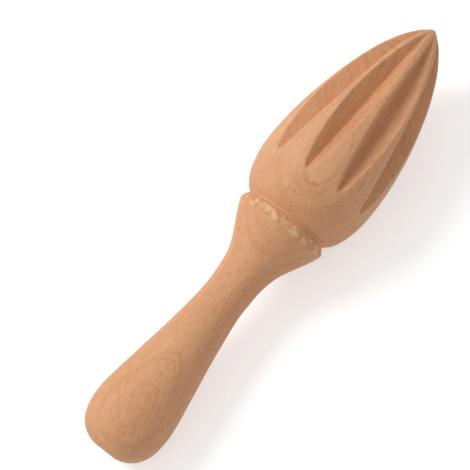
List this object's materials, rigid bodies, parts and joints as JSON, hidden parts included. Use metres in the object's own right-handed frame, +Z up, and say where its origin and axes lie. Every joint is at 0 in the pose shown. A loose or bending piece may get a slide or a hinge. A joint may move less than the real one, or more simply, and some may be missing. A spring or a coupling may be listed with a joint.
{
  "type": "wooden citrus reamer",
  "caption": "Hand citrus reamer turned from one piece of beech, with a fluted pointed head, a groove, a flared collar and a bulbed handle.",
  "frame": {"origin": "centre of the bottom of the box round the reamer as it lies on a table, resting on the belly of its head and the bulb of its handle", "axes": "+X towards the tip, +Z up, +Y to the left seen from the butt; the turning axis rises towards the tip by about 4 degrees"},
  "size_m": [0.1648, 0.04, 0.04],
  "materials": {
    "beech": "plain sanded beech, unvarnished, satin matt"
  },
  "bodies": {
    "root": {"reamer": "beech"}
  },
  "joints": []
}
